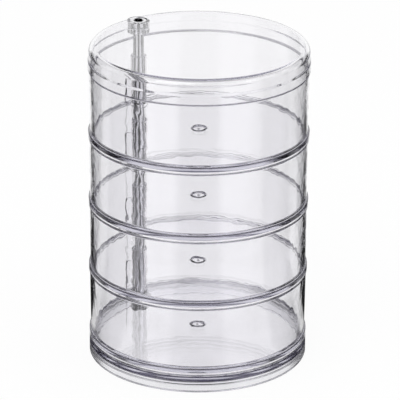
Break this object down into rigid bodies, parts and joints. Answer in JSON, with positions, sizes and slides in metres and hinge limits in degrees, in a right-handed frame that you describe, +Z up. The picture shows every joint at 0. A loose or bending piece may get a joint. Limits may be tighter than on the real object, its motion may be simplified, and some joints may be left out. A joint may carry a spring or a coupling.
{
  "type": "swivel organizer tower",
  "caption": "Round clear tower of stacked open trays under a lid, each swivelling sideways on one upright bolt beside the wall.",
  "frame": {"origin": "on the ground, on the axis of the round tower", "axes": "+Z up along the tower; -Y faces the viewer of the picture and +X is to the viewer's right, so the pivot bolt stands behind and to the left"},
  "size_m": [0.165, 0.165, 0.2447],
  "materials": {
    "clear_plastic": "moulded, polished and transparent, faintly violet grey",
    "foot_plastic": "soft translucent plastic with a satin surface",
    "polished_steel": "polished",
    "bright_zinc": "bright plated"
  },
  "bodies": {
    "base": {"base_disc": "clear_plastic", "foot_ring": "foot_plastic", "pivot_bolt": "polished_steel", "head_washer": "bright_zinc", "nut_washer": "bright_zinc", "pivot_nut": "bright_zinc"},
    "tray_4": {"tray_4": "clear_plastic"},
    "tray_3": {"tray_3": "clear_plastic"},
    "tray_2": {"tray_2": "clear_plastic"},
    "tray_1": {"tray_1": "clear_plastic"},
    "lid": {"lid": "clear_plastic"}
  },
  "joints": [
    {"name": "tray_4_swivel", "type": "hinge", "parent": "base", "child": "tray_4", "pos_m": [-0.04618, 0.05524, 0.0131], "axis": [0, 0, 1], "continuous": true},
    {"name": "tray_3_swivel", "type": "hinge", "parent": "base", "child": "tray_3", "pos_m": [-0.04618, 0.05524, 0.0663], "axis": [0, 0, 1], "continuous": true},
    {"name": "tray_2_swivel", "type": "hinge", "parent": "base", "child": "tray_2", "pos_m": [-0.04618, 0.05524, 0.1195], "axis": [0, 0, 1], "continuous": true},
    {"name": "tray_1_swivel", "type": "hinge", "parent": "base", "child": "tray_1", "pos_m": [-0.04618, 0.05524, 0.1727], "axis": [0, 0, 1], "continuous": true},
    {"name": "lid_swivel", "type": "hinge", "parent": "base", "child": "lid", "pos_m": [-0.04618, 0.05524, 0.2259], "axis": [0, 0, 1], "continuous": true}
  ]
}
